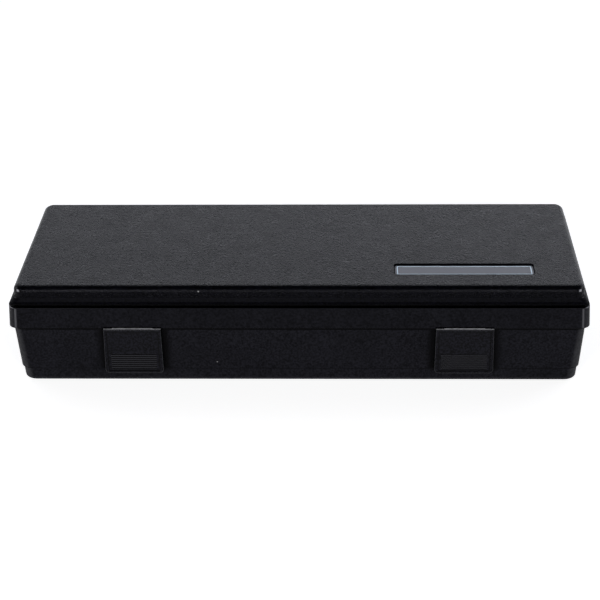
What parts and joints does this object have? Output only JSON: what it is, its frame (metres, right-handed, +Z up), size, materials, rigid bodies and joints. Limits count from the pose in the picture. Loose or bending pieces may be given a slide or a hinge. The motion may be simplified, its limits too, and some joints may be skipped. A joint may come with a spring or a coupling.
{
  "type": "microphone case",
  "caption": "Long shallow hard-plastic microphone case: a hinged lid, two rocker latches on the front, and die-cut foam inside that holds a microphone and its fittings.",
  "frame": {"origin": "middle of the underside, on the surface the case stands on", "axes": "+X along the case to the right as seen from the latches, +Y to the hinges at the back, +Z up"},
  "size_m": [0.3148, 0.1267, 0.0578],
  "materials": {
    "case_plastic": "fine leather grain on the body, smooth band round the rim",
    "lid_plastic": "fine leather grain",
    "latch_plastic": "smooth satin",
    "steel_pin": "drawn wire",
    "name_plate": "painted grey-blue, blank",
    "foam": "open-cell foam"
  },
  "bodies": {
    "base": {"base_shell": "case_plastic", "foam_base_pad": "foam", "foam_base_tray": "foam", "latch_pin_left": "steel_pin", "latch_pin_right": "steel_pin", "hinge_pin_left": "steel_pin", "hinge_pin_right": "steel_pin"},
    "lid": {"lid_shell": "lid_plastic", "name_plate": "name_plate", "foam_lid": "foam"},
    "left_latch": {"latch_left": "latch_plastic"},
    "right_latch": {"latch_right": "latch_plastic"}
  },
  "joints": [
    {"name": "lid_hinge", "type": "hinge", "parent": "base", "child": "lid", "pos_m": [0, 0.06305, 0.0475], "axis": [-1, 0, 0], "range_deg": [0, 105]},
    {"name": "latch_left_pivot", "type": "hinge", "parent": "base", "child": "left_latch", "pos_m": [-0.0901, -0.05786, 0.0323], "axis": [-1, 0, 0], "range_deg": [0, 22]},
    {"name": "latch_right_pivot", "type": "hinge", "parent": "base", "child": "right_latch", "pos_m": [0.0901, -0.05786, 0.0323], "axis": [-1, 0, 0], "range_deg": [0, 22]}
  ]
}
